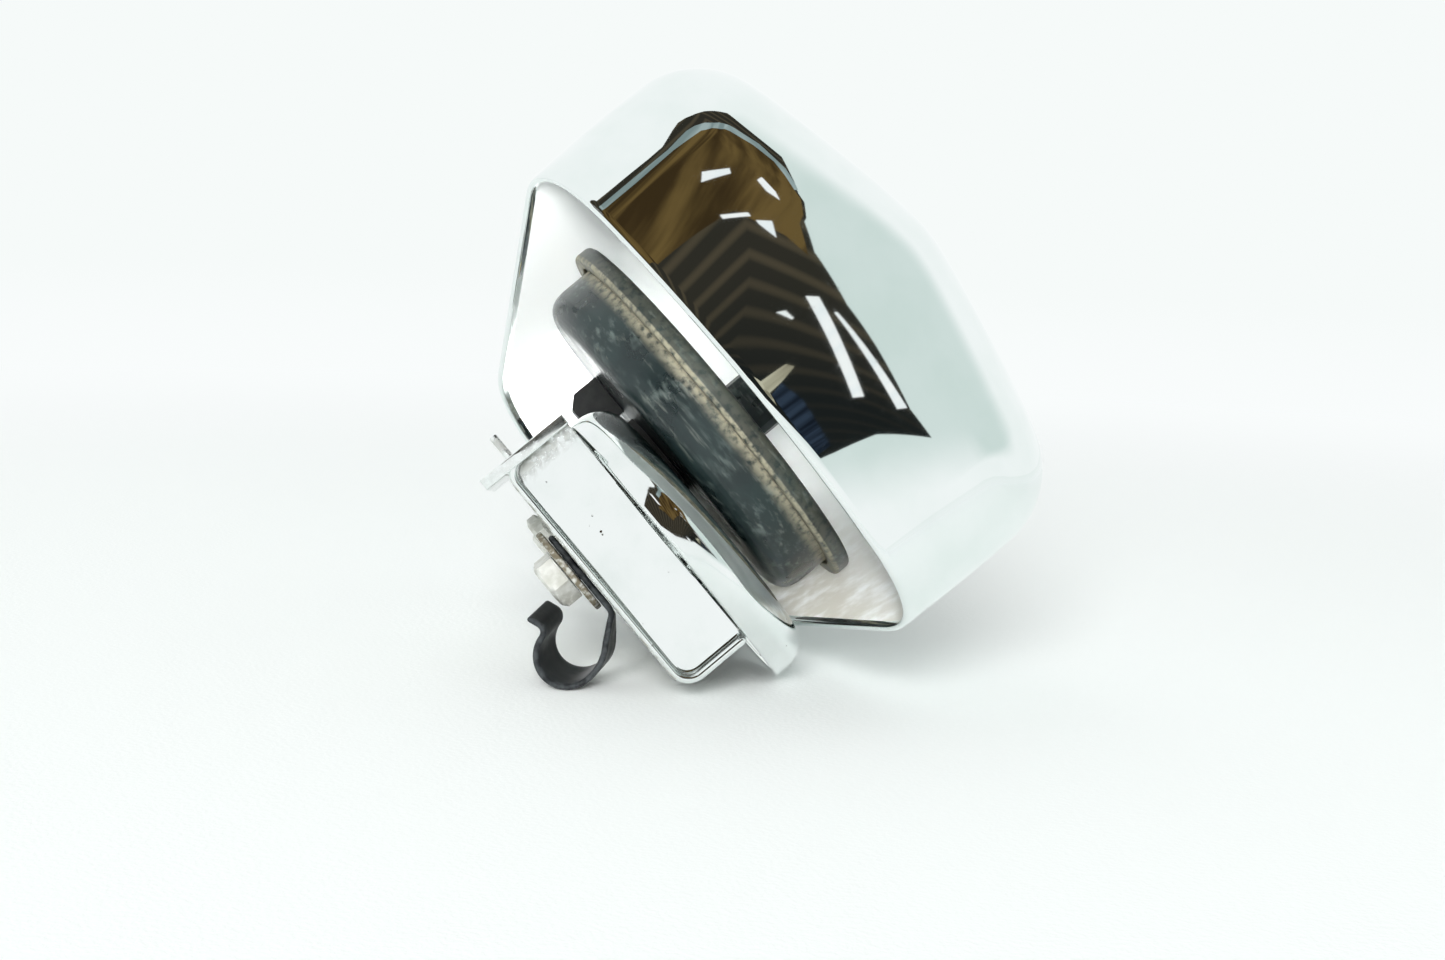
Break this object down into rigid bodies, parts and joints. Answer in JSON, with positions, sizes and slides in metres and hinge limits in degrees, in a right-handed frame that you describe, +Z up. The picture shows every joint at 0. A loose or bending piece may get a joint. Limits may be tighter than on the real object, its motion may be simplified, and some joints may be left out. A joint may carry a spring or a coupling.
{
  "type": "electric disc horn",
  "caption": "Electric disc horn hung inside a chromed bell-shaped cover with an open back, on a dished and channelled bracket with a bolted J-shaped cable clip.",
  "frame": {"origin": "middle of the bounding box, on the surface that the horn lies on", "axes": "+Z up, +Y away from the side with the web and the clip, +X to the right as seen from that side; the horn axis leans up to the right"},
  "size_m": [0.12, 0.1438, 0.1272],
  "materials": {
    "chrome": "bright plated steel sheet",
    "horn_paint": "worn dark paint on pressed steel",
    "zinc": "dull zinc on steel",
    "black_steel": "black spring steel",
    "spring_steel": "bare spring steel",
    "soft_iron": "bare soft iron",
    "copper_wire": null,
    "brass": "plain brass",
    "black_plastic": "moulded insulating plastic",
    "gasket_board": null,
    "rubber": "soft rubber"
  },
  "bodies": {
    "horn": {"cover_shell": "chrome", "bracket_dish": "chrome", "bracket_channel": "chrome", "bracket_web": "chrome", "bracket_ear": "chrome", "horn_housing": "horn_paint", "crimp_ring": "horn_paint", "front_cap": "horn_paint", "cover_post": "horn_paint", "rear_stud": "zinc", "spacer_tube": "zinc", "stud_nut": "zinc", "clip_bolt": "zinc", "clip_washer": "zinc", "clip_nut": "zinc", "tone_lock_nut": "zinc", "pole_core": "soft_iron", "coil_winding": "copper_wire", "fixed_contact": "brass", "terminal_blade_a": "brass", "terminal_blade_b": "brass", "coil_bobbin": "black_plastic", "contact_base": "black_plastic", "terminal_block": "black_plastic", "rim_gasket": "gasket_board", "stud_rubber": "rubber"},
    "armature": {"armature": "soft_iron", "diaphragm": "spring_steel", "stem_washer": "zinc", "stem_nut": "zinc"},
    "breaker": {"breaker_arm": "spring_steel"},
    "tone_adjuster": {"tone_screw": "zinc"},
    "clip": {"cable_clip": "black_steel"}
  },
  "joints": [
    {"name": "armature_stroke", "type": "slide", "parent": "horn", "child": "armature", "axis": [0.7429, 0.1415, 0.6542], "range_m": [-0.0002, 0.0002], "stiffness_N_per_m": 20000},
    {"name": "breaker_swing", "type": "hinge", "parent": "horn", "child": "breaker", "pos_m": [0.0079, -0.00758, 0.02593], "axis": [-0.0667, 0.9882, -0.138], "range_deg": [-0.6, 0.6]},
    {"name": "tone_turn", "type": "hinge", "parent": "horn", "child": "tone_adjuster", "pos_m": [-0.01573, 0.02231, 0.03399], "axis": [0.7429, 0.1415, 0.6542], "range_deg": [-180, 180]},
    {"name": "clip_turn", "type": "hinge", "parent": "horn", "child": "clip", "pos_m": [-0.03446, -0.03898, 0.02449], "axis": [0.7429, 0.1415, 0.6542], "range_deg": [-40, 10]}
  ],
  "couplings": [
    {"joint": "breaker_swing", "follows": "armature_stroke", "rad_per_m": 48.78}
  ]
}
